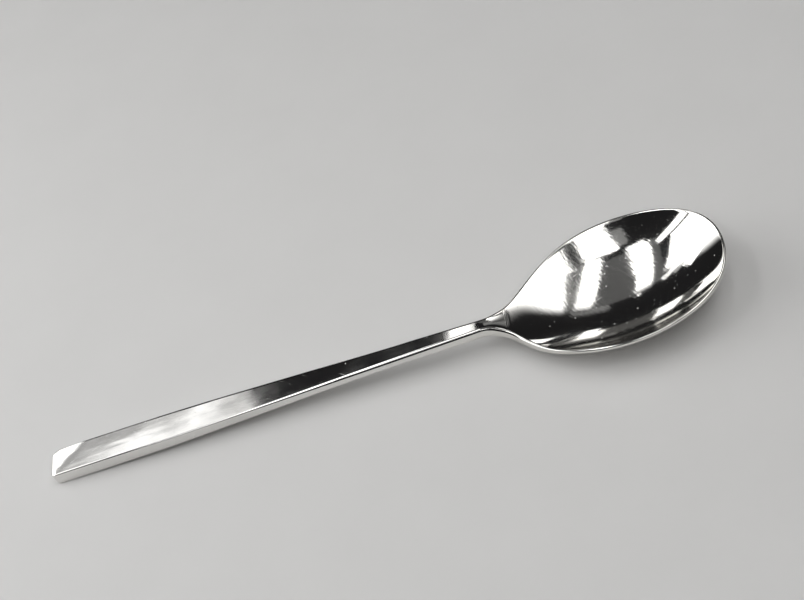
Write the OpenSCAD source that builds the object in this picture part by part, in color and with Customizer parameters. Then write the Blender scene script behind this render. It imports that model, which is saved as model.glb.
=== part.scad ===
// Table spoon in polished steel, resting on the belly of its bowl and the tip of its handle.
// Sizes are in millimetres. X runs along the spoon with the lip at +X, Y is across, Z is up.
// The origin is under the middle of the overall length, on the table.

/* [Overall] */
// full length from the handle tip to the lip of the bowl
spoon_len = 200; // [185:1:220]
// length of the egg-shaped bowl
bowl_len = 63; // [57:1:69]
// greatest width of the bowl
bowl_w = 42.6; // [38:0.2:48]

/* [Handle] */
// width of the bar over the first fifth of its length
tip_w = 9; // [7.5:0.1:11]
// width of the bar where it meets the bowl
neck_w = 4.3; // [4:0.1:5.5]
// thickness of the bar at its tip
tip_t = 4.2; // [3.4:0.1:5.2]
// thickness of the bar at its thinnest place
thin_t = 2.8; // [2.6:0.1:3.3]
// thickness of the bar at the neck
neck_t = 3.6; // [3.3:0.1:4.2]
// height of the top face above the table at the neck
neck_z = 9.3; // [8.6:0.1:10.5]
// bevel along the long edges
bevel = 0.45; // [0.2:0.05:0.6]
// corner radius of the tip seen from above
tip_r = 1.5; // [0.8:0.1:2.5]
// how far the top face rolls over at the tip
tip_roll = 0.9; // [0.4:0.1:1.4]

/* [Bowl] */
// height of the top edge in the dip where the neck opens into the bowl
dip_z = 7.5; // [7:0.1:8.5]
// height of the rim at the heel of the bowl
heel_z = 9; // [8.4:0.1:9.8]
// height of the rim at the widest place
rim_z = 11.2; // [10:0.1:12.5]
// height of the rim at the lip
lip_z = 14; // [12.5:0.1:15.5]
// thickness of the bowl wall and of its rim
rim_t = 1.3; // [1:0.05:1.8]
// bevel along the rim
rim_bevel = 0.3; // [0.15:0.05:0.4]
// how much fuller the bowl is towards the lip
fullness = 0.083; // [0:0.001:0.12]
// how blunt both ends of the bowl are
blunt = 0.13; // [0:0.01:0.2]
// how gently the bowl starts at the neck
heel_soft = 0.65; // [0.3:0.05:0.9]
// width of the soft fillet between neck and bowl
flare = 5.5; // [3.5:0.1:6.5]
// distance from the back of the bowl to its deepest place
deep_run = 30; // [27:0.5:33]
// how softly the top face turns down into the hollow
bend = 3; // [2.4:0.1:3.6]
// roundness of the hollow across the bowl, two is a parabola
hollow_round = 2.2; // [1.9:0.05:2.6]

/* [Joint] */
// length of neck that belongs to the bowl
neck_len = 18; // [14:1:24]
// length of the tang inside the handle
tang_len = 14; // [9:1:18]
// width of the tang
tang_w = 2.4; // [1.8:0.1:2.6]
// thickness of the tang
tang_t = 1.4; // [1.1:0.1:1.5]
// room around the tang in its socket
tang_gap = 0.08; // [0.05:0.01:0.15]
// thickness of the brazed seam between handle and bowl
seam_t = 0.3; // [0.2:0.05:0.5]

/* [Hidden] */

// places along the spoon, counted from the handle tip
back_s = spoon_len - bowl_len;
joint_s = back_s - neck_len;
neck_s = back_s - 7;
dip_s = back_s + 0.064 * bowl_len;
heel_s = back_s + 0.27 * bowl_len;
mid_s = back_s + 0.587 * bowl_len;
taper_s = 0.26 * back_s;
thin_s = 0.68 * back_s;

// slope of the straight top face of the bar
top_slope = (neck_z - tip_t) / neck_s;

// counts of facets
across = 24;
neck_rows = 12;
bowl_rows = 42;
lip_angle = 2.5;

// a smooth step from 0 to 1
function clamp01(u) = max(0, min(1, u));
function smooth(u) = let (v = clamp01(u)) v * v * (3 - 2 * v);

// half width of the straight bar
function bar_half(s) =
    let (u = clamp01((s - taper_s) / (neck_s - taper_s)))
    0.5 * (tip_w - (tip_w - neck_w) * pow(u, 1.15));

// thickness of the straight bar
function bar_thick(s) =
    s < thin_s
        ? tip_t + (thin_t - tip_t) * smooth(s / thin_s)
        : thin_t + (neck_t - thin_t) * smooth((s - thin_s) / (neck_s - thin_s));

// height of the top face of the bar
function bar_top(s) = tip_t + top_slope * s;

// a cubic piece between two heights with two slopes
function cubic(s, s0, s1, z0, z1, m0, m1) =
    let (h = s1 - s0, u = (s - s0) / h)
    z0 * (1 + 2 * u) * pow(1 - u, 2) + z1 * u * u * (3 - 2 * u)
    + h * (m0 * u * pow(1 - u, 2) - m1 * u * u * (1 - u));

dip_slope = (heel_z - neck_z) / (heel_s - neck_s);
heel_slope = (rim_z - dip_z) / (mid_s - dip_s);
mid_slope = (lip_z - heel_z) / (spoon_len - heel_s);
lip_slope = (lip_z - rim_z) / (spoon_len - mid_s);

// height of the top edge, straight along the bar and curved along the rim
function edge_z(s) =
    s <= neck_s ? bar_top(s)
    : s <= dip_s ? cubic(s, neck_s, dip_s, neck_z, dip_z, top_slope, dip_slope)
    : s <= heel_s ? cubic(s, dip_s, heel_s, dip_z, heel_z, dip_slope, heel_slope)
    : s <= mid_s ? cubic(s, heel_s, mid_s, heel_z, rim_z, heel_slope, mid_slope)
    : cubic(s, mid_s, spoon_len, rim_z, lip_z, mid_slope, lip_slope);

// height of the side strip, from the bar down to the thin rim
function edge_t(s) =
    s <= joint_s ? bar_thick(s)
    : let (u = smooth((s - back_s + 5) / 24))
      bar_thick(min(s, neck_s)) * (1 - u) + rim_t * u;

// the egg outline of the bowl, by the angle around it
function egg_s(a) = back_s + bowl_len * (1 + cos(a)) / (1 + cos(lip_angle));
function egg_half(a) =
    0.5 * bowl_w * pow(max(0, sin(a)), 1 + heel_soft * (1 - cos(a)) / 2)
    * (1 + fullness * cos(a) + blunt * cos(a) * cos(a));

// a soft maximum joins the bar to the egg
function soft_max(p, q, k) = 0.5 * (p + q + sqrt((p - q) * (p - q) + k * k));
function neck_half(s) = soft_max(0, bar_half(s), flare * (1 - smooth((back_s - s) / 6)));
function bowl_half(a) =
    let (fade = 1 - smooth((egg_s(a) - back_s) / 25))
    soft_max(egg_half(a), bar_half(egg_s(a)) * fade, flare * fade);

// middle line of the hollow: a cubic through the top face at the back and through the lip
deep_s = back_s + deep_run;
back_u = back_s - deep_s;
lip_u = spoon_len - deep_s;
function curve_z(s, low) =
    let (
        back_rise = bar_top(back_s) - low,
        lip_rise = lip_z - low,
        whole = pow(back_u, 2) * pow(lip_u, 3) - pow(lip_u, 2) * pow(back_u, 3),
        a = (back_rise * pow(lip_u, 3) - lip_rise * pow(back_u, 3)) / whole,
        b = (lip_rise * pow(back_u, 2) - back_rise * pow(lip_u, 2)) / whole,
        u = s - deep_s
    )
    low + a * u * u + b * u * u * u;

// a soft minimum joins it to the top face, which lifts away past the heel
function bed_z(s, low) =
    let (top = bar_top(s) + 0.02 * pow(max(0, s - back_s - 13), 2))
    -soft_max(-top, -curve_z(s, low), bend);

// depth of the hollow below the edge, faded in along the neck
function dip(s, low) = (edge_z(s) - bed_z(s, low)) * smooth((s - neck_s + 1) / 11);

// the hollow is as deep as the belly can be without going below the table
function belly_z(low) = min([for (i = [0 : 120])
    let (s = back_s + bowl_len * (0.2 + 0.6 * i / 120))
    edge_z(s) - dip(s, low) - edge_t(s)]);
low_z = rim_t - belly_z(rim_t);

// bevel of the edge, from the bar to the rim
function edge_bevel(s) = let (u = smooth((s - back_s + 6) / 20)) bevel * (1 - u) + rim_bevel * u;

// stations of the bowl piece as place along and half width
neck_row = [for (i = [0 : neck_rows - 1])
    let (s = joint_s + seam_t + (back_s - joint_s - seam_t) * i / neck_rows)
    [s, neck_half(s)]];
bowl_row = [for (i = [0 : bowl_rows])
    let (a = 180 + (lip_angle - 180) * i / bowl_rows)
    [egg_s(a), bowl_half(a)]];
rows = concat(neck_row, bowl_row);
last = len(rows) - 1;

// outward direction of the outline seen from above
function out_dir(i) =
    i == 0 ? [0, 1]
    : i == last ? [1, 0]
    : let (t = rows[i + 1] - rows[i - 1], n = norm(t)) [-t[1] / n, t[0] / n];

// one closed ring of points around the bowl piece
function bowl_ring(i) =
    let (
        s = rows[i][0],
        b = rows[i][1],
        n = out_dir(i),
        c = edge_bevel(s),
        z = edge_z(s),
        e = edge_t(s),
        d = dip(s, low_z),
        si = s - c * n[0],
        bi = i == last ? b : b - c * n[1]
    )
    concat(
        [for (j = [0 : across])
            let (r = 2 * j / across - 1)
            [si, bi * r, z - d * (1 - pow(abs(r), hollow_round))]],
        [[s, b, z - c], [s, b, z - e + c]],
        [for (j = [0 : across])
            let (r = 1 - 2 * j / across)
            [si, bi * r, z - e - d * (1 - pow(abs(r), hollow_round))]],
        [[s, -b, z - e + c], [s, -b, z - c]]
    );

// the same ring shape as a plain bar for the tang
function tang_ring(s) =
    let (z = tang_mid(s) + tang_t / 2, b = tang_w / 2, c = 0.15)
    concat(
        [for (j = [0 : across]) [s, (b - c) * (2 * j / across - 1), z]],
        [[s, b, z - c], [s, b, z - tang_t + c]],
        [for (j = [0 : across]) [s, (b - c) * (1 - 2 * j / across), z - tang_t]],
        [[s, -b, z - tang_t + c], [s, -b, z - c]]
    );
function tang_mid(s) = bar_top(s) - bar_thick(s) / 2;

// an eight-sided ring of a bevelled bar
function bar_ring(s, b, z, t, c) = [
    [s, -b, z - c],
    [s, c - b, z],
    [s, b - c, z],
    [s, b, z - c],
    [s, b, z - t + c],
    [s, b - c, z - t],
    [s, c - b, z - t],
    [s, -b, z - t + c]
];
function full_bar_ring(s) = bar_ring(s, bar_half(s), bar_top(s), bar_thick(s), bevel);
function socket_ring(s) =
    bar_ring(s, tang_w / 2 + tang_gap, tang_mid(s) + tang_t / 2 + tang_gap, tang_t + 2 * tang_gap, 0.15);

// ring of the handle tip, with rounded corners and a rolled top
function tip_ring(s) =
    let (
        in_plan = s < tip_r ? tip_r - sqrt(tip_r * tip_r - pow(tip_r - s, 2)) : 0,
        roll_len = 1.8 * tip_roll,
        v = clamp01(1 - s / roll_len),
        drop = tip_roll * (1 - sqrt(1 - v * v)),
        foot = 0.5 * tip_roll * (1 - sqrt(1 - v * v))
    )
    bar_ring(s, bar_half(s) - in_plan, bar_top(s) - drop, bar_thick(s) - drop - foot, bevel);

// faces between neighbouring rings of a loft
function skin(rings, n) = [for (i = [0 : rings - 2], j = [0 : n - 1])
    let (k = (j + 1) % n)
    each [
        [i * n + j, i * n + k, (i + 1) * n + k],
        [i * n + j, (i + 1) * n + k, (i + 1) * n + j]
    ]];

// cross strips that close the lip from its top middle round to its bottom middle
function lip_pair(m) =
    m <= across / 2 ? [across / 2 - m, across / 2 + m]
    : m == across / 2 + 1 ? [2 * across + 5, across + 1]
    : m == across / 2 + 2 ? [2 * across + 4, across + 2]
    : let (q = m - across / 2 - 3) [2 * across + 3 - q, across + 3 + q];
function lip_faces(o) = [for (m = [0 : across + 2])
    let (p = lip_pair(m), q = lip_pair(m + 1))
    each [
        if (p[0] != p[1]) [o + p[0], o + p[1], o + q[1]],
        if (q[0] != q[1]) [o + p[0], o + q[1], o + q[0]]
    ]];

// bowl piece: pressed bowl, neck and tang in one
module bowl() {
    n = 2 * across + 6;
    rings = concat(
        [tang_ring(joint_s - tang_len), tang_ring(joint_s + seam_t)],
        [for (i = [0 : last]) bowl_ring(i)]
    );
    points = [for (r = rings, p = r) [p[0] - spoon_len / 2, p[1], p[2]]];
    back = [[for (j = [0 : n - 1]) n - 1 - j]];
    color([0.80, 0.79, 0.77])
        polyhedron(points, concat(skin(len(rings), n), back, lip_faces((len(rings) - 1) * n)));
}

// handle: solid bar with a blind socket in its end
module handle() {
    tip_rows = [for (i = [0 : 7]) 2.2 * pow(i / 7, 1.6)];
    bar_rows = [for (i = [1 : 30]) 2.2 + (joint_s - 2.2) * i / 30];
    rings = concat(
        [for (s = tip_rows) tip_ring(s)],
        [for (s = bar_rows) full_bar_ring(s)],
        [socket_ring(joint_s), socket_ring(joint_s - tang_len - tang_gap)]
    );
    points = [for (r = rings, p = r) [p[0] - spoon_len / 2, p[1], p[2]]];
    front = [[7, 6, 5, 4, 3, 2, 1, 0]];
    end = [[for (j = [0 : 7]) (len(rings) - 1) * 8 + j]];
    color([0.78, 0.77, 0.76])
        polyhedron(points, concat(skin(len(rings), 8), front, end));
}

// brazed seam: the thin layer of filler between the handle and the shoulder of the bowl
module braze_seam() {
    rings = [
        full_bar_ring(joint_s),
        full_bar_ring(joint_s + seam_t),
        socket_ring(joint_s + seam_t),
        socket_ring(joint_s),
        full_bar_ring(joint_s)
    ];
    points = [for (i = [0 : 3], p = rings[i]) [p[0] - spoon_len / 2, p[1], p[2]]];
    faces = [for (f = skin(5, 8)) [for (v = f) v % 32]];
    color([0.83, 0.80, 0.72])
        polyhedron(points, faces);
}

bowl();
handle();
braze_seam();
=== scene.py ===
"""Polished table spoon: smooth surfaces, steel finishes, pale floor, soft light and camera."""
import logging
import math
from dataclasses import dataclass
from enum import Enum

import bmesh
import bpy
import numpy as np
from mathutils import Matrix


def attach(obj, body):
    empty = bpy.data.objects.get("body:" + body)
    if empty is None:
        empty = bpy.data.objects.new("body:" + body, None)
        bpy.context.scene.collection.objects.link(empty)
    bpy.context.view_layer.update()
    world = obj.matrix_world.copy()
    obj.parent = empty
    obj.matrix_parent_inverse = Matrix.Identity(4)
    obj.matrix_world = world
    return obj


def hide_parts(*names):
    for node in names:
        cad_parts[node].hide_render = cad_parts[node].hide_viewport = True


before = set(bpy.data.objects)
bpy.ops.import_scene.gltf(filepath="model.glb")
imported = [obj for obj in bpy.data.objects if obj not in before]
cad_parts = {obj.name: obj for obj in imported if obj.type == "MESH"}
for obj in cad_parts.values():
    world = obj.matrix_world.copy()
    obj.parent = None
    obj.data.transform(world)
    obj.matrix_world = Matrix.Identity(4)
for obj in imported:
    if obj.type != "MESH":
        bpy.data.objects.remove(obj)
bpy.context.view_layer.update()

LOG = logging.getLogger("spoon")
MM = 0.001
BODY = "root"
MERGE_DISTANCE = 2e-7
CREASE_DEGREES = 38.0

Array = np.ndarray
Triple = tuple[float, float, float]
Tree = bpy.types.NodeTree
Socket = bpy.types.NodeSocket
Marks = bpy.types.NodeOutputs


def clamp01(u: Array) -> Array:
    """Limits values to the span from 0 to 1."""
    return np.clip(u, 0.0, 1.0)


def smooth_step(u: Array) -> Array:
    """The cubic step 3u^2 - 2u^3 after limiting u to 0..1."""
    v = clamp01(u)
    return v * v * (3.0 - 2.0 * v)


def soft_max(p: Array, q: Array, k: Array) -> Array:
    """A rounded maximum: half of p + q + sqrt((p - q)^2 + k^2)."""
    return 0.5 * (p + q + np.sqrt((p - q) ** 2 + k ** 2))


@dataclass(frozen=True)
class CubicLine:
    """A curve with continuous curvature through knots, with a set slope at its start.

    Attributes:
        places: Knot places along the spoon in mm.
        heights: Knot heights in mm.
        start_slope: Slope at the first knot.
    """

    places: tuple[float, ...]
    heights: tuple[float, ...]
    start_slope: float

    def slopes(self) -> Array:
        """Solves the knot slopes so that curvature is continuous and zero at the far end.

        Returns:
            One slope per knot.
        """
        x, y = np.array(self.places), np.array(self.heights)
        h, n = np.diff(x), len(x)
        rise = np.diff(y) / h
        rows, right = np.zeros((n, n)), np.zeros(n)
        rows[0, 0], right[0] = 1.0, self.start_slope
        i = np.arange(1, n - 1)
        rows[i, i - 1], rows[i, i], rows[i, i + 1] = 1 / h[:-1], 2 / h[:-1] + 2 / h[1:], 1 / h[1:]
        right[i] = 3 * (rise[:-1] / h[:-1] + rise[1:] / h[1:])
        rows[-1, -2], rows[-1, -1], right[-1] = 1.0, 2.0, 3 * rise[-1]
        return np.linalg.solve(rows, right)

    def at(self, s: Array) -> Array:
        """Cubic pieces from knot heights and slopes.

        Args:
            s: Places in mm, at or after the first knot.

        Returns:
            Heights in mm.
        """
        x, y, m = np.array(self.places), np.array(self.heights), self.slopes()
        i = np.clip(np.searchsorted(x, s) - 1, 0, len(x) - 2)
        h = x[i + 1] - x[i]
        u = (s - x[i]) / h
        ends = y[i] * (1 + 2 * u) * (1 - u) ** 2 + y[i + 1] * u * u * (3 - 2 * u)
        return ends + h * (m[i] * u * (1 - u) ** 2 - m[i + 1] * u * u * (1 - u))


@dataclass(frozen=True)
class SpoonForm:
    """Sizes of the whole spoon in mm, counted along s from the handle tip to the lip.

    Attributes:
        length: Overall length.
        bowl_len: Length of the egg, the bowl's outline.
        bowl_w: Width of the egg at its middle.
        tip_w: Width of the bar at its tip.
        neck_w: Width of the bar at the neck.
        taper_from: Share of the bar that keeps the tip's width.
        taper_power: Power of the taper, 1 for a straight one.
        tip_t: Thickness of the bar at its tip.
        thin_t: Least thickness of the bar.
        thin_at: Share of the bar at which it is thinnest.
        neck_t: Thickness of the bar at the neck.
        neck_z: Height of the top face at the neck.
        neck_run: Length from the top face's end to the egg.
        neck_len: Length from the joint to the egg.
        bevel: Radius of the bar's edges at the tip.
        neck_bevel: The same at the neck.
        bevel_from: Share of the top face after which it grows.
        bevel_run: Share of the top face over which it grows.
        tip_r: Radius of the tip's near corner in plan.
        tip_far_r: The same at the far corner.
        tip_roll: Depth of the rolled edge at the tip.
        tip_slant: Bend of the slanting polish on the tip, per mm.
        dip_z: Lowest height of the rim, just past the neck.
        dip_at: Share of the bowl at which that is.
        heel_z: Height of the rim over the heel.
        heel_at: Share of the bowl at which that is.
        rim_z: Height of the rim past the middle of the bowl.
        rim_at: Share of the bowl at which that is.
        lip_z: Height of the lip.
        rim_t: Thickness of the rim.
        rim_lead: Length before the egg at which the side strip starts to thin.
        rim_run: Length over which it thins.
        rim_round: Radius of the rim's edges.
        round_lead: Length before the egg at which the edge radius starts to change.
        round_run: Length over which it changes.
        fullness: Shift of the egg's width towards the lip.
        blunt: Extra width at both ends of the egg.
        heel_soft: Extra power that draws in the egg's back end.
        flare: Size of the rounding between bar and egg.
        flare_back: Length before the egg over which it fades in.
        flare_front: Length past the egg's back end over which it fades out.
        corner_soft: Width of the average that smooths the egg's back corner.
        corner_reach: How many of those widths the average spans on each side.
        corner_steps: Number of places that it takes in.
        corner_core: Length on both sides that is fully smoothed.
        corner_edge: Length over which the smoothing fades.
        deep_run: Length from the egg's back end to the deepest place.
        bed_z: Height of the hollow's deepest place.
        bend: Size of the rounding between the top face and the hollow.
        lift: Rise per mm squared that takes the top face away past the heel.
        lift_from: Length past the egg's back end at which it starts.
        dip_lead: Length before the top face's end at which the dish starts.
        dip_run: Length over which the dish fades in.
        tang_len: Length of the tang.
        tang_w: Width of the tang.
        tang_t: Thickness of the tang.
        tang_round: Radius of the edges of tang and socket.
        tang_gap: Room between tang and socket.
        seam_t: Thickness of the braze seam.
    """

    length: float = 200.0
    bowl_len: float = 63.0
    bowl_w: float = 42.57
    tip_w: float = 9.0
    neck_w: float = 4.3
    taper_from: float = 0.26
    taper_power: float = 1.15
    tip_t: float = 4.2
    thin_t: float = 2.8
    thin_at: float = 0.68
    neck_t: float = 3.6
    neck_z: float = 9.3
    neck_run: float = 7.0
    neck_len: float = 18.0
    bevel: float = 0.24
    neck_bevel: float = 1.0
    bevel_from: float = 0.3
    bevel_run: float = 0.6
    tip_r: float = 1.6
    tip_far_r: float = 3.4
    tip_roll: float = 0.9
    tip_slant: float = 0.005
    dip_z: float = 7.5
    dip_at: float = 0.064
    heel_z: float = 9.0
    heel_at: float = 0.27
    rim_z: float = 11.2
    rim_at: float = 0.587
    lip_z: float = 13.97
    rim_t: float = 1.3
    rim_lead: float = 5.0
    rim_run: float = 24.0
    rim_round: float = 0.42
    round_lead: float = 6.0
    round_run: float = 20.0
    fullness: float = 0.083
    blunt: float = 0.13
    heel_soft: float = 0.65
    flare: float = 5.5
    flare_back: float = 6.0
    flare_front: float = 25.0
    corner_soft: float = 1.4
    corner_reach: float = 2.5
    corner_steps: int = 21
    corner_core: float = 4.0
    corner_edge: float = 6.0
    deep_run: float = 30.0
    bed_z: float = 1.46
    bend: float = 3.0
    lift: float = 0.02
    lift_from: float = 13.0
    dip_lead: float = 1.0
    dip_run: float = 11.0
    tang_len: float = 14.0
    tang_w: float = 2.4
    tang_t: float = 1.4
    tang_round: float = 0.15
    tang_gap: float = 0.08
    seam_t: float = 0.3

    @property
    def back_s(self) -> float:
        """Place of the back end of the egg outline."""
        return self.length - self.bowl_len

    @property
    def joint_s(self) -> float:
        """Place of the joint between handle and bowl."""
        return self.back_s - self.neck_len

    @property
    def seam_x(self) -> float:
        """Middle of the seam in metres from the middle of the spoon."""
        return (self.joint_s + self.seam_t / 2 - self.length / 2) * MM

    @property
    def neck_s(self) -> float:
        """Place where the straight top face ends."""
        return self.back_s - self.neck_run

    @property
    def top_slope(self) -> float:
        """Slope of the straight top face."""
        return (self.neck_z - self.tip_t) / self.neck_s

    def bar_half(self, s: Array) -> Array:
        """Half width of the bar: even near the tip, then a nearly straight taper.

        It is half of w - (w - n) u^p, with u from 0 to 1 along the taper from width w to width n.

        Args:
            s: Places along the spoon in mm.

        Returns:
            Half widths in mm.
        """
        start = self.taper_from * self.back_s
        u = clamp01((s - start) / (self.neck_s - start))
        return 0.5 * (self.tip_w - (self.tip_w - self.neck_w) * u ** self.taper_power)

    def bar_thick(self, s: Array) -> Array:
        """Thickness of the bar: two smooth steps, thick to thin to thick.

        Args:
            s: Places along the spoon in mm.

        Returns:
            Thicknesses in mm.
        """
        thin_s = self.thin_at * self.back_s
        first = (self.thin_t - self.tip_t) * smooth_step(s / thin_s)
        second = (self.neck_t - self.thin_t) * smooth_step((s - thin_s) / (self.neck_s - thin_s))
        return self.tip_t + first + second

    def bar_top(self, s: Array) -> Array:
        """Height of the straight top face."""
        return self.tip_t + self.top_slope * s

    def edge_z(self, s: Array) -> Array:
        """Height of the top edge: straight along the bar, then a smooth curve along the rim.

        Args:
            s: Places along the spoon in mm.

        Returns:
            Heights in mm.
        """
        dip_s, heel_s, rim_s = (
            self.back_s + share * self.bowl_len for share in (self.dip_at, self.heel_at, self.rim_at)
        )
        rim = CubicLine(
            (self.neck_s, dip_s, heel_s, rim_s, self.length),
            (self.neck_z, self.dip_z, self.heel_z, self.rim_z, self.lip_z),
            self.top_slope,
        )
        return np.where(s <= self.neck_s, self.bar_top(s), rim.at(np.maximum(s, self.neck_s)))

    def edge_t(self, s: Array) -> Array:
        """Height of the side strip, from the bar's thickness down to the thin rim."""
        u = smooth_step((s - self.back_s + self.rim_lead) / self.rim_run)
        return self.bar_thick(np.minimum(s, self.neck_s)) * (1 - u) + self.rim_t * u

    def edge_round(self, s: Array) -> Array:
        """Radius of the rounded edges, growing along the bar and then falling to the rim.

        Both changes are smooth steps.

        Args:
            s: Places along the spoon in mm.

        Returns:
            Radii in mm.
        """
        grown = smooth_step((s - self.bevel_from * self.neck_s) / (self.bevel_run * self.neck_s))
        bar = self.bevel + (self.neck_bevel - self.bevel) * grown
        u = smooth_step((s - self.back_s + self.round_lead) / self.round_run)
        return bar * (1 - u) + self.rim_round * u

    def bed(self, s: Array) -> Array:
        """Height of the hollow's middle line.

        The curve bed_z + a u^2 + b u^3, with u counted from the deepest place, runs through the
        straight top face at the bowl's back end and through the lip. A rounded minimum joins it to
        the top face, which lifts away past the heel with the square of the way.

        Args:
            s: Places along the spoon in mm.

        Returns:
            Heights in mm.
        """
        deep_s = self.back_s + self.deep_run
        ends = np.array([self.back_s, self.length]) - deep_s
        rises = np.array([self.bar_top(self.back_s), self.lip_z]) - self.bed_z
        a, b = np.linalg.solve(np.stack([ends ** 2, ends ** 3], 1), rises)
        u = s - deep_s
        curve = self.bed_z + a * u ** 2 + b * u ** 3
        way = np.maximum(s - self.back_s - self.lift_from, 0.0)
        top = self.bar_top(s) + self.lift * way ** 2
        return -soft_max(-top, -curve, self.bend)

    def dip(self, s: Array) -> Array:
        """Depth of the dish below the edge, faded in along the neck."""
        fade_in = smooth_step((s - self.neck_s + self.dip_lead) / self.dip_run)
        return (self.edge_z(s) - self.bed(s)) * fade_in

    def plan_half(self, s: Array) -> Array:
        """Half width in plan of neck and bowl.

        The egg is B sin(a)^(1 + k(1 - cos a)/2) (1 + f cos a + g cos^2 a), with cos a running from
        -1 at its back to 1 at the lip, and a rounded maximum joins it to the bar.

        Args:
            s: Places along the spoon in mm.

        Returns:
            Half widths in mm.
        """
        past = s - self.back_s
        c = np.clip(2 * past / self.bowl_len - 1, -1.0, 1.0)
        power = 1 + self.heel_soft * (1 - c) / 2
        egg = np.sqrt(1 - c * c) ** power * (1 + self.fullness * c + self.blunt * c * c)
        way = np.where(past < 0, -past / self.flare_back, past / self.flare_front)
        fade = 1 - smooth_step(way)
        bar = self.bar_half(s) * np.where(past < 0, 1.0, fade)
        return soft_max(0.5 * self.bowl_w * egg, bar, self.flare * fade)

    def outline(self, neck_rows: int, rows: int) -> tuple[Array, Array]:
        """Plan outline of neck and bowl, with the corner at the egg's back end averaged away.

        The average has Gaussian weights exp(-x^2 / 2), with x counted in its widths.

        Args:
            neck_rows: Number of stations along the neck.
            rows: Number of stations around the egg.

        Returns:
            Places along the spoon and half widths, from the joint to the lip.
        """
        s_neck = np.linspace(self.joint_s + self.seam_t, self.back_s, neck_rows, endpoint=False)
        turn = np.linspace(math.pi, 0.0, rows)
        s_egg = self.back_s + self.bowl_len * (1 + np.cos(turn)) / 2
        s = np.concatenate([s_neck, s_egg])
        span = np.linspace(-self.corner_reach, self.corner_reach, self.corner_steps)
        reach = span * self.corner_soft
        weight = np.exp(-0.5 * (reach / self.corner_soft) ** 2)
        mean = self.plan_half(s[:, None] + reach) @ (weight / weight.sum())
        away = np.abs(s - self.back_s) - self.corner_core
        near = 1 - smooth_step(away / self.corner_edge)
        half = self.plan_half(s) * (1 - near) + mean * near
        half[-1] = 0.0
        return s, half


@dataclass(frozen=True)
class RingPlan:
    """How many points go round a cross section.

    Attributes:
        across: Steps across the top and the underside.
        arc: Points on each rounded edge.
        side: Points on each side between its edges.
    """

    across: int
    arc: int
    side: int


BAR_PLAN = RingPlan(across=20, arc=8, side=4)
BOWL_PLAN = RingPlan(across=72, arc=8, side=2)


def section_rings(
    s: Array, half: Array, normal: Array, top: Array, thick: Array,
    rounding: Array, tilt: Array, dip: Array, square: Array, plan: RingPlan,
) -> Array:
    """Closed cross sections with rounded edges and a dished top and bottom.

    Across the section the dish is dip (1 - (1 - q) r^2 - q r^4), with r from -1 to 1. The edges
    are arcs that start at the dish's own slope and lie along the outline's plan normal.

    Args:
        s: Places along the spoon, one per section.
        half: Half widths.
        normal: Outward plan normals of the far edge, one pair per section.
        top: Heights of the top edge.
        thick: Heights of the side strip.
        rounding: Edge radii.
        tilt: Slopes of the dish at the edge, as angles.
        dip: Depths of the dish.
        square: Shares q of the fourth power, for a flatter middle.
        plan: Counts of points.

    Returns:
        Array of sections by points by three coordinates in mm.
    """
    s, half, top, thick, c, tilt, dip, q = (
        np.asarray(v, dtype=float)[:, None] for v in (s, half, top, thick, rounding, tilt, dip, square)
    )
    nx, ny = normal[:, :1], normal[:, 1:]
    u = np.linspace(0.0, 1.0, plan.arc)[None, :]
    up = -tilt + u * (math.pi / 2 + tilt)
    down = math.pi / 2 + u * (math.pi / 2 - tilt)
    v = np.linspace(0.0, 1.0, plan.side + 2)[None, 1:-1]
    inset = np.concatenate([c * (1 - np.sin(up)), 0 * c * v, c * (1 - np.sin(down))], 1)
    height = np.concatenate([
        top - c + c * np.cos(up),
        top - c - (thick - 2 * c) * v,
        top - thick + c + c * np.cos(down),
    ], 1)
    far = np.stack([s - inset * nx, half - inset * ny, height], 2)
    near = far[:, ::-1] * np.array([1.0, -1.0, 1.0])
    r = np.linspace(-1.0, 1.0, plan.across + 1)[None, 1:-1]
    sag = dip * (1 - (1 - q) * r ** 2 - q * r ** 4)
    upper = np.stack([far[:, :1, 0] + 0 * r, far[:, :1, 1] * r, far[:, :1, 2] - sag], 2)
    lower = np.stack([far[:, -1:, 0] + 0 * r, -far[:, -1:, 1] * r, far[:, -1:, 2] - sag], 2)
    return np.concatenate([upper, far, lower, near], 1)


def bar_rings(
    s: Array, half: Array, top: Array, thick: Array, rounding: Array, plan: RingPlan,
) -> Array:
    """Plain rounded bar sections square to the length of the spoon.

    Args:
        s: Places along the spoon.
        half: Half widths.
        top: Heights of the top face.
        thick: Thicknesses.
        rounding: Edge radii.
        plan: Counts of points.

    Returns:
        Sections in mm.
    """
    none = np.zeros_like(s)
    normal = np.stack([none, np.ones_like(s)], 1)
    return section_rings(s, half, normal, top, thick, rounding, none, none, none, plan)


def tang_rings(form: SpoonForm, s: Array, gap: float, plan: RingPlan) -> Array:
    """Sections of the tang, or of the socket that leaves room around it.

    Args:
        form: Sizes of the spoon.
        s: Places along the spoon in mm.
        gap: Room around the tang in mm, 0 for the tang itself.
        plan: Counts of points.

    Returns:
        Sections in mm.
    """
    one, thick = np.ones_like(s), form.tang_t + 2 * gap
    half = (form.tang_w / 2 + gap) * one
    top = form.bar_top(s) - form.bar_thick(s) / 2 + thick / 2
    return bar_rings(s, half, top, thick * one, form.tang_round * one, plan)


class Close(Enum):
    """How the ends of a row of sections are closed."""

    CAPS = "caps"
    FIRST = "first"
    LOOP = "loop"


def linked(name: str, data: bpy.types.ID) -> bpy.types.Object:
    """Makes an object from its data and adds it to the scene.

    Args:
        name: Name of the object.
        data: Its mesh, lamp or camera.

    Returns:
        The object.
    """
    item = bpy.data.objects.new(name, data)
    bpy.context.collection.objects.link(item)
    return item


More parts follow.
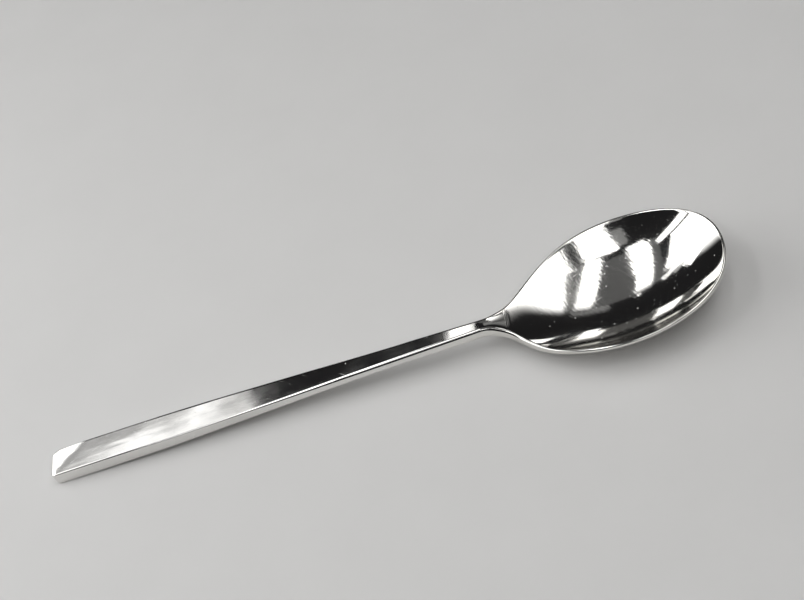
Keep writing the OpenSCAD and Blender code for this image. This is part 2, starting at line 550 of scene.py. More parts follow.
def loft(name: str, rings: Array, form: SpoonForm, close: Close) -> bpy.types.Object:
    """Joins neighbouring closed sections into one closed mesh.

    Each face joins points j and j + 1 of one section to the same points of the next.

    Args:
        name: Name of the new piece.
        rings: Sections in mm, in order.
        form: Sizes of the spoon, whose middle becomes the origin.
        close: How the ends are closed.

    Returns:
        The new object, shaded smooth with crisp edges kept.
    """
    rows, n = rings.shape[:2]
    points = (rings.reshape(-1, 3) - np.array([form.length / 2, 0.0, 0.0])) * MM
    wrap = rows if close is Close.LOOP else rows - 1
    i, j = np.meshgrid(np.arange(wrap), np.arange(n), indexing="ij")
    k, m = (j + 1) % n, (i + 1) % rows
    quads = np.stack([i * n + j, m * n + j, m * n + k, i * n + k], 2).reshape(-1, 4)
    faces = quads.tolist()
    if close is not Close.LOOP:
        faces.append(list(range(n)))
    if close is Close.CAPS:
        faces.append(list(range((rows - 1) * n, rows * n))[::-1])
    mesh = bpy.data.meshes.new(name)
    mesh.from_pydata(points.tolist(), [], faces)
    work = bmesh.new()
    work.from_mesh(mesh)
    bmesh.ops.remove_doubles(work, verts=work.verts, dist=MERGE_DISTANCE)
    bmesh.ops.recalc_face_normals(work, faces=work.faces)
    work.to_mesh(mesh)
    work.free()
    mesh.shade_smooth()
    mesh.set_sharp_from_angle(angle=math.radians(CREASE_DEGREES))
    return linked(name, mesh)


def math_node(tree: Tree, kind: str, *values: float | Socket) -> Socket:
    """Adds a math node fed by sockets or plain numbers.

    Args:
        tree: Node tree to add to.
        kind: Name of the operation.
        values: What feeds its inputs, in order.

    Returns:
        The socket with the result.
    """
    node = tree.nodes.new("ShaderNodeMath")
    node.operation = kind
    for slot, value in zip(node.inputs, values):
        if isinstance(value, Socket):
            tree.links.new(value, slot)
        else:
            slot.default_value = value
    return node.outputs["Value"]


class Ramp(Enum):
    """How a span of values is mapped to 0..1."""

    STRAIGHT = "LINEAR"
    SMOOTH = "SMOOTHSTEP"


def band(tree: Tree, value: Socket, low: float, high: float, ramp: Ramp = Ramp.STRAIGHT) -> Socket:
    """Adds a node that maps low..high to 0..1 with limits.

    Args:
        tree: Node tree to add to.
        value: What is mapped.
        low: Value that becomes 0.
        high: Value that becomes 1.
        ramp: Straight or smooth between them.

    Returns:
        The socket with the result.
    """
    span = tree.nodes.new("ShaderNodeMapRange")
    span.interpolation_type = ramp.value
    span.inputs["From Min"].default_value = low
    span.inputs["From Max"].default_value = high
    tree.links.new(value, span.inputs["Value"])
    return span.outputs["Result"]


def tint(tree: Tree, share: Socket, first: Triple, second: Triple) -> Socket:
    """Adds a mix of two colours.

    Args:
        tree: Node tree to add to.
        share: How much of the second colour shows.
        first: Colour where the share is 0.
        second: Colour where it is 1.

    Returns:
        The socket with the colour.
    """
    mixed = tree.nodes.new("ShaderNodeMix")
    mixed.data_type = "RGBA"
    mixed.inputs["A"].default_value = (*first, 1.0)
    mixed.inputs["B"].default_value = (*second, 1.0)
    tree.links.new(share, mixed.inputs["Factor"])
    return mixed.outputs["Result"]


@dataclass(frozen=True)
class MarkNoise:
    """Noise on stretched and turned coordinates.

    Attributes:
        stretch: Scale along each axis, per metre.
        detail: Number of finer layers.
        low: Value that a mask shows as 0.
        high: Value that a mask shows as 1.
        turn: Turn about the vertical in degrees.
    """

    stretch: Triple
    detail: float
    low: float = 0.0
    high: float = 1.0
    turn: float = 0.0

    def value(self, tree: Tree, vector: Socket) -> Socket:
        """Adds the noise itself.

        Args:
            tree: Node tree to add to.
            vector: Coordinates that it reads.

        Returns:
            The socket with its value.
        """
        mapped = tree.nodes.new("ShaderNodeMapping")
        mapped.vector_type = "TEXTURE"
        mapped.inputs["Scale"].default_value = tuple(1.0 / v for v in self.stretch)
        mapped.inputs["Rotation"].default_value = (0.0, 0.0, math.radians(self.turn))
        tree.links.new(vector, mapped.inputs["Vector"])
        made = tree.nodes.new("ShaderNodeTexNoise")
        made.inputs["Scale"].default_value = 1.0
        made.inputs["Detail"].default_value = self.detail
        tree.links.new(mapped.outputs["Vector"], made.inputs["Vector"])
        return made.outputs["Fac"]

    def mask(self, tree: Tree, vector: Socket) -> Socket:
        """Adds the noise between its low and its high value, as 0..1."""
        return band(tree, self.value(tree, vector), self.low, self.high)


@dataclass(frozen=True)
class PolishMarks:
    """A node group with the marks that polishing and use leave on steel.

    Attributes:
        name: Name of the group.
        lines: Fine lines of the polish.
        wave: Slow waves of the polish.
        smudge: Smudges from use.
        scratches: Two crossing sets of thin scratches.
        patch: Patches in which scratches show.
        chosen: Which specks show.
        speck_scale: Cells for specks, per metre.
        speck_rim: Distance in cells at which a speck ends.
        speck_core: Distance in cells at which it is full.
    """

    name: str = "polish_marks"
    lines: MarkNoise = MarkNoise((180.0, 1500.0, 1500.0), 1.0)
    wave: MarkNoise = MarkNoise((38.0, 190.0, 190.0), 2.0)
    smudge: MarkNoise = MarkNoise((60.0, 90.0, 90.0), 4.0, 0.42, 0.74)
    scratches: tuple[MarkNoise, MarkNoise] = (
        MarkNoise((110.0, 3600.0, 3600.0), 1.0, 0.71, 0.77, 24.0),
        MarkNoise((90.0, 3000.0, 3000.0), 1.0, 0.72, 0.78, -38.0),
    )
    patch: MarkNoise = MarkNoise((140.0, 140.0, 140.0), 1.0, 0.50, 0.62)
    chosen: MarkNoise = MarkNoise((900.0, 900.0, 900.0), 0.0, 0.62, 0.68)
    speck_scale: float = 700.0
    speck_rim: float = 0.15
    speck_core: float = 0.08

    def group(self) -> Tree:
        """Builds the group once.

        Returns:
            A group that reads Run, along the polish, and Place, along the spoon, and puts out
            lines, waves, smudges, scratches and specks.
        """
        if self.name in bpy.data.node_groups:
            return bpy.data.node_groups[self.name]
        tree = bpy.data.node_groups.new(self.name, "ShaderNodeTree")
        for name in ("Run", "Place"):
            tree.interface.new_socket(name, in_out="INPUT", socket_type="NodeSocketVector")
        for name in ("Lines", "Wave", "Smudge", "Scratch", "Speck"):
            tree.interface.new_socket(name, in_out="OUTPUT", socket_type="NodeSocketFloat")
        start, end = tree.nodes.new("NodeGroupInput"), tree.nodes.new("NodeGroupOutput")
        run, place = start.outputs["Run"], start.outputs["Place"]
        thin = math_node(tree, "MAXIMUM", *(one.mask(tree, place) for one in self.scratches))
        dots = tree.nodes.new("ShaderNodeTexVoronoi")
        dots.inputs["Scale"].default_value = self.speck_scale
        tree.links.new(place, dots.inputs["Vector"])
        dot = band(tree, dots.outputs["Distance"], self.speck_rim, self.speck_core)
        made = {
            "Lines": self.lines.value(tree, run),
            "Wave": self.wave.value(tree, run),
            "Smudge": self.smudge.mask(tree, place),
            "Scratch": math_node(tree, "MULTIPLY", thin, self.patch.mask(tree, place)),
            "Speck": math_node(tree, "MULTIPLY", dot, self.chosen.mask(tree, place)),
        }
        for name, value in made.items():
            tree.links.new(value, end.inputs[name])
        return tree


class MarkRun(Enum):
    """Turn of the polishing lines in degrees, clockwise from the length of the spoon."""

    ALONG = 0.0
    SLANT = 55.0


@dataclass(frozen=True)
class SteelFinish:
    """A polished metal with fine lines, waves, smudges, scratches and specks of dust.

    Attributes:
        name: Material name.
        clean: Colour of the clean metal.
        dull: Colour where smudges lie.
        smooth: Roughness of the clean metal.
        rough: Roughness where smudges lie.
        line_depth: Height of the polishing lines in metres.
        wave_depth: Height of the slow waves in metres.
        run: Which way the lines run.
        middle: Middle of the worn patch in metres.
        worn_reach: Radius of the worn patch in metres.
        worn_core: Share of that radius that is fully worn.
        worn_rough: Roughness that the worn patch adds.
        worn_lines: Height in metres that the worn patch adds to the lines.
        joint: Place of the joint along the spoon in metres, where the polish is even and clean.
        joint_reach: Length in metres over which waves and smudges come back on either side.
        scratch_rough: Roughness that a scratch adds.
        scratch_cut: Depth of a scratch in heights of the polishing lines.
        speck_rough: Roughness that a speck adds.
        speck_dull: Metalness that a speck takes away.
    """

    name: str
    clean: Triple
    dull: Triple
    smooth: float
    rough: float
    line_depth: float
    wave_depth: float
    run: MarkRun = MarkRun.ALONG
    middle: Triple = (0.0, 0.0, 0.0)
    worn_reach: float = 0.02
    worn_core: float = 0.25
    worn_rough: float = 0.0
    worn_lines: float = 0.0
    joint: float = SpoonForm().seam_x
    joint_reach: float = 0.012
    scratch_rough: float = 0.2
    scratch_cut: float = 1.5
    speck_rough: float = 0.5
    speck_dull: float = 0.9

    def marks(self, tree: Tree, where: Socket, centred: Socket) -> Marks:
        """Adds the shared marks, with the polishing lines turned.

        Args:
            tree: Node tree to add to.
            where: Coordinates along the spoon.
            centred: Coordinates from the middle of the worn patch.

        Returns:
            The outputs of the marks.
        """
        turned = tree.nodes.new("ShaderNodeMapping")
        turned.inputs["Rotation"].default_value = (0.0, 0.0, math.radians(self.run.value))
        tree.links.new(centred, turned.inputs["Vector"])
        made = tree.nodes.new("ShaderNodeGroup")
        made.node_tree = PolishMarks().group()
        tree.links.new(turned.outputs["Vector"], made.inputs["Run"])
        tree.links.new(where, made.inputs["Place"])
        return made.outputs

    def worn(self, tree: Tree, centred: Socket) -> Socket:
        """Adds the mask of the worn patch, from the radius sqrt(x^2 + y^2).

        Args:
            tree: Node tree to add to.
            centred: Coordinates from the middle of the patch.

        Returns:
            The socket with the mask, 1 in the middle.
        """
        parts = tree.nodes.new("ShaderNodeSeparateXYZ")
        tree.links.new(centred, parts.inputs["Vector"])
        squares = (math_node(tree, "MULTIPLY", v, v) for v in (parts.outputs["X"], parts.outputs["Y"]))
        radius = math_node(tree, "SQRT", math_node(tree, "ADD", *squares))
        return band(tree, radius, self.worn_reach, self.worn_core * self.worn_reach, Ramp.SMOOTH)

    def away(self, tree: Tree, where: Socket) -> Socket:
        """Adds the mask that is 0 at the joint and 1 away from it.

        Args:
            tree: Node tree to add to.
            where: Coordinates along the spoon.

        Returns:
            The socket with the mask.
        """
        parts = tree.nodes.new("ShaderNodeSeparateXYZ")
        tree.links.new(where, parts.inputs["Vector"])
        past = math_node(tree, "SUBTRACT", parts.outputs["X"], self.joint)
        return band(tree, math_node(tree, "ABSOLUTE", past), 0.0, self.joint_reach, Ramp.SMOOTH)

    def roughness(self, tree: Tree, mark: Marks, smudge: Socket, rubbed: Socket) -> Socket:
        """Adds up the roughness: clean metal, smudges, scratches, the worn patch and specks.

        Args:
            tree: Node tree to add to.
            mark: Outputs of the marks.
            smudge: Mask of the smudges.
            rubbed: Lines within the worn patch.

        Returns:
            The socket with the roughness.
        """
        total = math_node(tree, "MULTIPLY_ADD", smudge, self.rough - self.smooth, self.smooth)
        total = math_node(tree, "MULTIPLY_ADD", mark["Scratch"], self.scratch_rough, total)
        total = math_node(tree, "MULTIPLY_ADD", rubbed, self.worn_rough, total)
        return math_node(tree, "MULTIPLY_ADD", mark["Speck"], self.speck_rough, total)

    def normal(self, tree: Tree, mark: Marks, wave: Socket, rubbed: Socket) -> Socket:
        """Adds up the fine relief, lines, the worn patch and waves less scratches, as a normal.

        Args:
            tree: Node tree to add to.
            mark: Outputs of the marks.
            wave: Slow waves.
            rubbed: Lines within the worn patch.

        Returns:
            The socket with the normal.
        """
        cut = -self.scratch_cut * self.line_depth
        height = math_node(tree, "MULTIPLY", mark["Lines"], self.line_depth)
        height = math_node(tree, "MULTIPLY_ADD", rubbed, self.worn_lines, height)
        height = math_node(tree, "MULTIPLY_ADD", wave, self.wave_depth, height)
        height = math_node(tree, "MULTIPLY_ADD", mark["Scratch"], cut, height)
        bump = tree.nodes.new("ShaderNodeBump")
        bump.inputs["Strength"].default_value = 1.0
        bump.inputs["Distance"].default_value = 1.0
        tree.links.new(height, bump.inputs["Height"])
        return bump.outputs["Normal"]

    def material(self) -> bpy.types.Material:
        """Builds the material from the shared marks.

        Returns:
            A metal whose colour, roughness, metalness and normal vary over the surface.
        """
        made = bpy.data.materials.new(self.name)
        made.use_nodes = True
        tree = made.node_tree
        shader = tree.nodes["Principled BSDF"]
        where = tree.nodes.new("ShaderNodeTexCoord").outputs["Object"]
        moved = tree.nodes.new("ShaderNodeMapping")
        moved.inputs["Location"].default_value = tuple(-v for v in self.middle)
        tree.links.new(where, moved.inputs["Vector"])
        centred = moved.outputs["Vector"]
        mark, away = self.marks(tree, where, centred), self.away(tree, where)
        smudge = math_node(tree, "MULTIPLY", mark["Smudge"], away)
        wave = math_node(tree, "MULTIPLY", mark["Wave"], away)
        rubbed = math_node(tree, "MULTIPLY", self.worn(tree, centred), mark["Lines"])
        values = {
            "Base Color": tint(tree, smudge, self.clean, self.dull),
            "Metallic": math_node(tree, "MULTIPLY_ADD", mark["Speck"], -self.speck_dull, 1.0),
            "Roughness": self.roughness(tree, mark, smudge, rubbed),
            "Normal": self.normal(tree, mark, wave, rubbed),
        }
        for name, value in values.items():
            tree.links.new(value, shader.inputs[name])
        return made


@dataclass
class Bowl:
    """Pressed bowl with its neck and tang.

    Attributes:
        form: Sizes of the spoon.
        finish: Finish of the metal.
        neck_rows: Number of sections along the neck.
        rows: Number of sections around the egg.
        wall_tilt: Slope of the dish at the rim in degrees.
        tilt_run: Length in mm over which that slope comes in.
        square: Share of the fourth power in the dish.
        neck_square: Extra share at the neck.
        square_from: Length in mm past the egg's back end that keeps the extra share.
        square_run: Length in mm over which it fades.
    """

    form: SpoonForm
    finish: SteelFinish
    neck_rows: int = 56
    rows: int = 168
    wall_tilt: float = 42.0
    tilt_run: float = 14.0
    square: float = 0.15
    neck_square: float = 0.30
    square_from: float = 3.0
    square_run: float = 12.0

    def build(self) -> bpy.types.Object:
        """Lofts the tang, the neck and the dished bowl in one surface.

        The outline's normals are its slopes turned by a right angle. The slope of the dish at the
        rim and the flatter middle at the neck come and go by smooth steps.

        Returns:
            The bowl piece.
        """
        f = self.form
        s, half = f.outline(self.neck_rows, self.rows)
        along = np.stack([np.gradient(s), np.gradient(half)], 1)
        normal = np.stack([-along[:, 1], along[:, 0]], 1)
        normal /= np.linalg.norm(normal, axis=1, keepdims=True)
        normal[0], normal[-1] = (0.0, 1.0), (1.0, 0.0)
        tilt = math.radians(self.wall_tilt) * smooth_step((s - f.back_s) / self.tilt_run)
        past = s - f.back_s - self.square_from
        square = self.square + self.neck_square * (1 - smooth_step(past / self.square_run))
        shell = section_rings(
            s, half, normal, f.edge_z(s), f.edge_t(s), f.edge_round(s), tilt, f.dip(s), square, BOWL_PLAN
        )
        t = np.array([f.joint_s - f.tang_len, f.joint_s + f.seam_t])
        tang = tang_rings(f, t, 0.0, BOWL_PLAN)
        return loft("bowl_shell", np.concatenate([tang, shell]), f, Close.FIRST)

    def dress(self, piece: bpy.types.Object) -> None:
        """Gives the bowl its finish and its place in the frame.

        Args:
            piece: The piece that was built.
        """
        piece.data.materials.append(self.finish.material())
        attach(piece, BODY)
        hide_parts("bowl")


@dataclass
class Handle:
    """Solid bar with a rolled tip and a blind socket.

    Attributes:
        form: Sizes of the spoon.
        finish: Finish of the metal.
        rows: Number of sections along the bar.
        tip_rows: Number of sections around the tip's corners.
        tip_reach: Length of the finely divided tip in far corner radii.
        tip_spread: Power that crowds its sections towards the end.
        roll_reach: Length of the rolled edge in its depths.
        roll_share: Loss of thickness in drops of the rolled edge.
        slant_near: Length in mm of the slanting polish along the near edge.
        slant_skew: Extra length in mm along the far edge.
        slant_ease: Length in mm over which the polish grows straight.
    """

    form: SpoonForm
    finish: SteelFinish
    rows: int = 160
    tip_rows: int = 28
    tip_reach: float = 1.1
    tip_spread: float = 2.0
    roll_reach: float = 1.8
    roll_share: float = 1.5
    slant_near: float = 3.0
    slant_skew: float = 10.0
    slant_ease: float = 20.0

    def build(self) -> bpy.types.Object:
        """Lofts the bar from its tip to the joint, then back into the socket.

        The rolled edge drops as a quarter ellipse, d (1 - sqrt(1 - v^2)).

        Returns:
            The handle piece.
        """
        f = self.form
        tip_end = self.tip_reach * f.tip_far_r
        s = np.concatenate([
            tip_end * np.linspace(0.0, 1.0, self.tip_rows) ** self.tip_spread,
            np.linspace(tip_end, f.joint_s, self.rows)[1:],
        ])
        half, far = (f.bar_half(s) - self.corner_cut(s, r) for r in (f.tip_r, f.tip_far_r))
        v = clamp01(1 - s / (self.roll_reach * f.tip_roll))
        drop = f.tip_roll * (1 - np.sqrt(1 - v * v))
        top, thick = f.bar_top(s) - drop, f.bar_thick(s) - self.roll_share * drop
        bar = bar_rings(s, half, top, thick, f.edge_round(s), BAR_PLAN)
        bar[..., 1] *= np.where(bar[..., 1] > 0, (far / half)[:, None], 1.0)
        bar[..., 2] -= self.slant(bar, top, thick)
        t = np.array([f.joint_s, f.joint_s - f.tang_len - f.tang_gap])
        socket = tang_rings(f, t, f.tang_gap, BAR_PLAN)
        return loft("handle_bar", np.concatenate([bar, socket]), f, Close.CAPS)

    @staticmethod
    def corner_cut(s: Array, radius: float) -> Array:
        """Width that a rounded corner takes off one side, r - sqrt(r^2 - (r - s)^2).

        Args:
            s: Places along the spoon in mm.
            radius: Radius of the corner in mm.

        Returns:
            Widths in mm.
        """
        return radius - np.sqrt(radius ** 2 - np.maximum(radius - s, 0.0) ** 2)

    def slant(self, bar: Array, top: Array, thick: Array) -> Array:
        """Height that a slanting polish takes off the top of the tip.

        It is k w^2 / (1 + w / e), with w the way from a line that crosses the bar at a slant, and
        fades from the top face to the middle of the thickness.

        Args:
            bar: Sections of the bar in mm.
            top: Heights of the top face.
            thick: Thicknesses.

        Returns:
            One height in mm for each point.
        """
        across = clamp01(0.5 + bar[..., 1] / self.form.tip_w)
        way = np.maximum(self.slant_near + self.slant_skew * across - bar[..., 0], 0.0)
        upper = clamp01(1 - 2 * (top[:, None] - bar[..., 2]) / thick[:, None])
        return self.form.tip_slant * way ** 2 / (1 + way / self.slant_ease) * upper

    def dress(self, piece: bpy.types.Object) -> None:
        """Gives the handle its finish and its place in the frame.

        Args:
            piece: The piece that was built.
        """
        piece.data.materials.append(self.finish.material())
        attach(piece, BODY)
        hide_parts("handle")


@dataclass
class BrazeSeam:
    """Thin layer of filler between the handle and the bowl.

    Attributes:
        form: Sizes of the spoon.
        finish: Finish of the metal.
    """

    form: SpoonForm
    finish: SteelFinish

    def build(self) -> bpy.types.Object:
        """Lofts a closed flat frame around the tang.

        Returns:
            The seam piece.
        """
        f = self.form
        s = np.array([f.joint_s, f.joint_s + f.seam_t])
        outer = bar_rings(s, f.bar_half(s), f.bar_top(s), f.bar_thick(s), f.edge_round(s), BAR_PLAN)
        inner = tang_rings(f, s[::-1], f.tang_gap, BAR_PLAN)
        return loft("braze_layer", np.concatenate([outer, inner]), f, Close.LOOP)

    def dress(self, piece: bpy.types.Object) -> None:
        """Gives the seam its finish and its place in the frame.

        Args:
            piece: The piece that was built.
        """
        piece.data.materials.append(self.finish.material())
        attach(piece, BODY)
        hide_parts("braze_seam")


class Facing(Enum):
    """Which way a soft lamp faces."""

    DOWN = "down"
    SPOON = "spoon"
    UPRIGHT = "upright"


class FadeSide(Enum):
    """Which side of a soft lamp grows dim, as parts of its right and its up axis."""

    FAR = (0.0, 1.0)
    LEFT = (-1.0, 0.0)


@dataclass(frozen=True)
class SoftBox:
    """A rectangular soft lamp.

    Attributes:
        name: Lamp name.
        centre: Middle of its face in metres.
        wide: Size across in metres.
        tall: Size along in metres.
        radiance: Brightness of its face.
        facing: Straight down, towards the spoon, or upright and towards the spoon.
        turn: Turn of its face about its own axis in degrees.
        fade: Length in metres over which its brightness falls off at one side.
        fade_side: Which side that is.
    """

    name: str
    centre: Triple
    wide: float
    tall: float
    radiance: float
    facing: Facing = Facing.DOWN
    turn: float = 0.0
    fade: float = 0.0
    fade_side: FadeSide = FadeSide.FAR

    def axes(self, aim: Array) -> Array:
        """Works out the lamp's axes.

        Args:
            aim: Point that a lamp facing the spoon looks at, in metres.

        Returns:
            Columns for its right, its up and its back.
        """
        c, s = math.cos(math.radians(self.turn)), math.sin(math.radians(self.turn))
        right, back = np.array([1.0, 0.0, 0.0]), np.array([0.0, 0.0, 1.0])
        if self.facing is not Facing.DOWN:
            back = np.array(self.centre) - aim
            back[2] *= self.facing is Facing.SPOON
            back /= np.linalg.norm(back)
            right = np.cross([0.0, 0.0, 1.0], back)
            right /= np.linalg.norm(right)
        up = np.cross(back, right)
        return np.stack([c * right + s * up, c * up - s * right, back], 1)

    def soften(self, lamp: bpy.types.Light, axes: Array) -> None:
        """Lets the brightness fall off smoothly at one side.

        Args:
            lamp: The lamp's data.
            axes: Columns for its right, its up and its back.
        """
        u, v = self.fade_side.value
        half = abs(u) * self.wide / 2 + abs(v) * self.tall / 2
        lamp.use_nodes = True
        tree = lamp.node_tree
        spot = tree.nodes.new("ShaderNodeNewGeometry").outputs["Position"]
        away, along = (tree.nodes.new("ShaderNodeVectorMath") for _ in range(2))
        away.operation, along.operation = "SUBTRACT", "DOT_PRODUCT"
        away.inputs[1].default_value = self.centre
        along.inputs[1].default_value = tuple(u * axes[:, 0] + v * axes[:, 1])
        tree.links.new(spot, away.inputs[0])
        tree.links.new(away.outputs["Vector"], along.inputs[0])
        bright = band(tree, along.outputs["Value"], half, half - self.fade, Ramp.SMOOTH)
        tree.links.new(bright, tree.nodes["Emission"].inputs["Strength"])

    def place(self, aim: Array) -> bpy.types.Object:
        """Puts the lamp in the scene.

        Args:
            aim: Point that a lamp facing the spoon looks at, in metres.

        Returns:
            The lamp object.
        """
        lamp = bpy.data.lights.new(self.name, "AREA")
        lamp.shape = "RECTANGLE"
        lamp.size, lamp.size_y = self.wide, self.tall
        lamp.energy = self.radiance * math.pi * self.wide * self.tall
        item, axes = linked(self.name, lamp), self.axes(aim)
        if self.fade:
            self.soften(lamp, axes)
        item.matrix_world = Matrix.Translation(self.centre) @ Matrix(axes.tolist()).to_4x4()
        return item


@dataclass(frozen=True)
class Viewpoint:
    """The viewing angle, worked out from the spoon's outline.

    Attributes:
        azimuth: Turn of the camera about the vertical, in degrees.
        elevation: Height of the camera in degrees.
        roll: Turn of the picture in degrees.
        reach: Distance in metres.
        look_z: Height in metres of the point that the camera is set to.
        picture: Width and height of the picture in pixels.
        focal: Focal length in pixels of that picture.
        centre: Pixel at which the middle of the spoon lies.
        sensor: Width of the film in mm.
        clip: Nearest distance shown, in metres.
    """

    azimuth: float = 14.67
    elevation: float = 48.73
    roll: float = -27.94
    reach: float = 0.55117
    look_z: float = 0.008
    picture: tuple[float, float] = (804.0, 600.0)
    focal: float = 2000.0
    centre: tuple[float, float] = (376.0, 358.73)
    sensor: float = 36.0
    clip: float = 0.01

    def place(self) -> bpy.types.Object:
        """Makes the camera and sets it as the scene's own.

        Returns:
            The camera object.
        """
        az, el, roll = (math.radians(v) for v in (self.azimuth, self.elevation, self.roll))
        back = np.array([math.sin(az) * math.cos(el), -math.cos(az) * math.cos(el), math.sin(el)])
        level = np.array([math.cos(az), math.sin(az), 0.0])
        steep = np.cross(level, -back)
        right = math.cos(roll) * level + math.sin(roll) * steep
        up = math.cos(roll) * steep - math.sin(roll) * level
        across = (self.centre[0] - self.picture[0] / 2) / self.focal * self.reach
        above = -(self.centre[1] - self.picture[1] / 2) / self.focal * self.reach
        spot = np.array([0.0, 0.0, self.look_z]) + self.reach * back - across * right - above * up
        data = bpy.data.cameras.new("camera")
        data.sensor_width = self.sensor
        data.lens = self.focal / self.picture[0] * self.sensor
        data.clip_start = self.clip
        item = linked("camera", data)
        turn = Matrix(np.stack([right, up, back], 1).tolist()).to_4x4()
        item.matrix_world = Matrix.Translation(spot.tolist()) @ turn
        bpy.context.scene.camera = item
        return item


@dataclass(frozen=True)
class FloorFinish:
    """A pale matt floor with a faint mottle.

    Attributes:
        name: Material name.
        dark: Colour of its darker spots.
        light: Colour of its lighter spots.
        rough: Roughness.
        scale: Spots per metre.
        detail: Number of finer layers in the spots.
    """

    name: str = "pale_floor"
    dark: Triple = (0.64, 0.635, 0.625)
    light: Triple = (0.68, 0.675, 0.665)
    rough: float = 0.7
    scale: float = 40.0
    detail: float = 5.0

    def material(self) -> bpy.types.Material:
        """Builds the material.

        Returns:
            A matt material whose colour varies a little.
        """
        made = bpy.data.materials.new(self.name)
        made.use_nodes = True
        tree = made.node_tree
        shader = tree.nodes["Principled BSDF"]
        shader.inputs["Roughness"].default_value = self.rough
        where = tree.nodes.new("ShaderNodeTexCoord")
        noise = tree.nodes.new("ShaderNodeTexNoise")
        noise.inputs["Scale"].default_value = self.scale
        noise.inputs["Detail"].default_value = self.detail
        tree.links.new(where.outputs["Object"], noise.inputs["Vector"])
        spots = tint(tree, noise.outputs["Fac"], self.dark, self.light)
        tree.links.new(spots, shader.inputs["Base Color"])
        return made


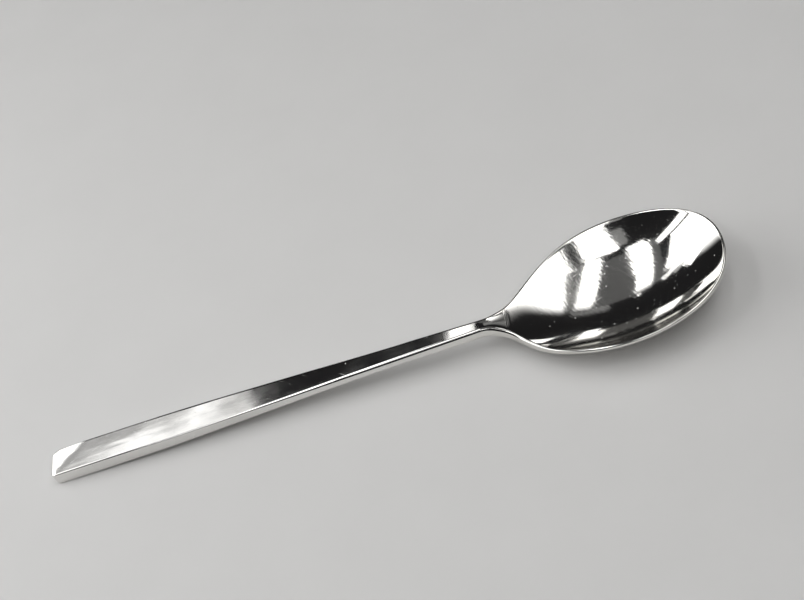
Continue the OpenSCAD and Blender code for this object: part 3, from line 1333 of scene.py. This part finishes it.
@dataclass
class Studio:
    """Pale floor, dim surroundings, soft lamps and the camera.

    Attributes:
        aim: Point that lamps facing the spoon look at, in metres.
        floor_size: Length of the floor's sides in metres.
        floor_finish: Finish of the floor.
        surround: Colour of the dim surroundings.
        lamps: Soft lamps, the large ones first.
        viewpoint: Place of the camera.
    """

    aim: Triple = (0.065, 0.0, 0.008)
    floor_size: float = 6.0
    floor_finish: FloorFinish = FloorFinish()
    surround: Triple = (0.013, 0.013, 0.0135)
    lamps: tuple[SoftBox, ...] = (
        SoftBox(
            "left_screen", (-0.407, 0.142, 0.290), 0.442, 0.54, 2.2, Facing.UPRIGHT,
            fade=0.10, fade_side=FadeSide.LEFT,
        ),
        SoftBox("left_strip", (-0.443, -0.130, 0.400), 0.080, 0.60, 2.2, Facing.UPRIGHT),
        SoftBox("left_panel", (-0.2594, 0.165, 0.70), 0.165, 0.79, 2.2, turn=-3.3, fade=0.19),
        SoftBox("middle_panel", (0.153, 0.1543, 0.70), 0.104, 0.87, 2.2, turn=-10.3, fade=0.24),
        SoftBox("right_panel", (0.4281, 0.1892, 0.70), 0.296, 0.88, 2.2, turn=-8.0, fade=0.34),
        SoftBox("right_rear_panel", (0.3995, -0.425, 0.70), 0.340, 0.55, 2.2, turn=5.8),
        SoftBox("rear_panel", (0.034, -0.54, 0.70), 0.246, 0.49, 2.2, turn=5.8),
        SoftBox("dim_ceiling", (0.0, 0.15, 0.705), 0.90, 0.74, 0.09),
        SoftBox("dim_front", (0.17, 0.64, 0.70), 0.25, 0.24, 0.22, fade=0.18),
        SoftBox("dim_rear", (-0.155, -0.50, 0.70), 0.10, 0.30, 0.22),
        SoftBox("handle_panel", (-0.2346, 0.2373, 0.3218), 0.14, 0.04, 1.3, Facing.SPOON, -28.4),
        SoftBox("handle_fill", (-0.2554, 0.2512, 0.2879), 0.095, 0.032, 0.40, Facing.SPOON, -28.4),
        SoftBox("tip_panel", (-0.2953, 0.2625, 0.2358), 0.095, 0.066, 2.0, Facing.SPOON, -28.4),
        SoftBox("neck_panel", (-0.0819, 0.3279, 0.4064), 0.013, 0.03, 2.0, Facing.SPOON, -38.9),
        SoftBox("low_panel", (0.2170, 0.703, 0.162), 0.054, 0.13, 2.0, Facing.SPOON),
        SoftBox("low_dot", (0.1146, 0.745, 0.198), 0.048, 0.095, 2.0, Facing.SPOON),
        SoftBox("edge_strip", (-0.045, -0.020, 0.270), 0.06, 0.16, 1.5),
        SoftBox("low_strip", (-0.172, 0.756, 0.115), 0.052, 0.11, 2.0, Facing.SPOON),
    )
    viewpoint: Viewpoint = Viewpoint()

    def floor(self) -> bpy.types.Object:
        """Makes the floor.

        Returns:
            The floor object.
        """
        h = self.floor_size / 2
        mesh = bpy.data.meshes.new("floor")
        mesh.from_pydata([(-h, -h, 0), (h, -h, 0), (h, h, 0), (-h, h, 0)], [], [(0, 1, 2, 3)])
        mesh.materials.append(self.floor_finish.material())
        item = linked("floor", mesh)
        return item

    def world(self) -> bpy.types.World:
        """Makes the dim even surroundings.

        Returns:
            The world.
        """
        made = bpy.data.worlds.new("surround")
        made.use_nodes = True
        made.node_tree.nodes["Background"].inputs["Color"].default_value = (*self.surround, 1.0)
        bpy.context.scene.world = made
        return made

    def build(self) -> None:
        """Sets up everything around the spoon."""
        self.floor()
        self.world()
        for lamp in self.lamps:
            lamp.place(np.array(self.aim))
        self.viewpoint.place()
        bpy.context.scene.view_settings.view_transform = "Standard"


BOWL_STEEL = SteelFinish(
    "bowl_steel", clean=(0.84, 0.83, 0.80), dull=(0.74, 0.725, 0.69), smooth=0.05, rough=0.10,
    line_depth=1.2e-6, wave_depth=0.8e-5, run=MarkRun.SLANT,
    middle=(0.068, 0.004, 0.0), worn_reach=0.030, worn_rough=0.06, worn_lines=1.3e-5,
)
HANDLE_STEEL = SteelFinish(
    "handle_steel", clean=(0.84, 0.83, 0.81), dull=(0.72, 0.71, 0.69), smooth=0.05, rough=0.15,
    line_depth=0.8e-6, wave_depth=2.6e-5,
)
BRAZE_METAL = SteelFinish(
    "braze_metal", clean=(0.84, 0.825, 0.79), dull=(0.73, 0.715, 0.68), smooth=0.05, rough=0.15,
    line_depth=0.8e-6, wave_depth=2.6e-5,
)


def main() -> None:
    """Builds the spoon and its surroundings."""
    logging.basicConfig(level=logging.INFO, format="%(name)s %(message)s")
    form = SpoonForm()
    for part in (Bowl(form, BOWL_STEEL), Handle(form, HANDLE_STEEL), BrazeSeam(form, BRAZE_METAL)):
        piece = part.build()
        part.dress(piece)
        LOG.info("%s: %d faces", piece.name, len(piece.data.polygons))
    Studio().build()


if __name__ == "__main__":
    main()
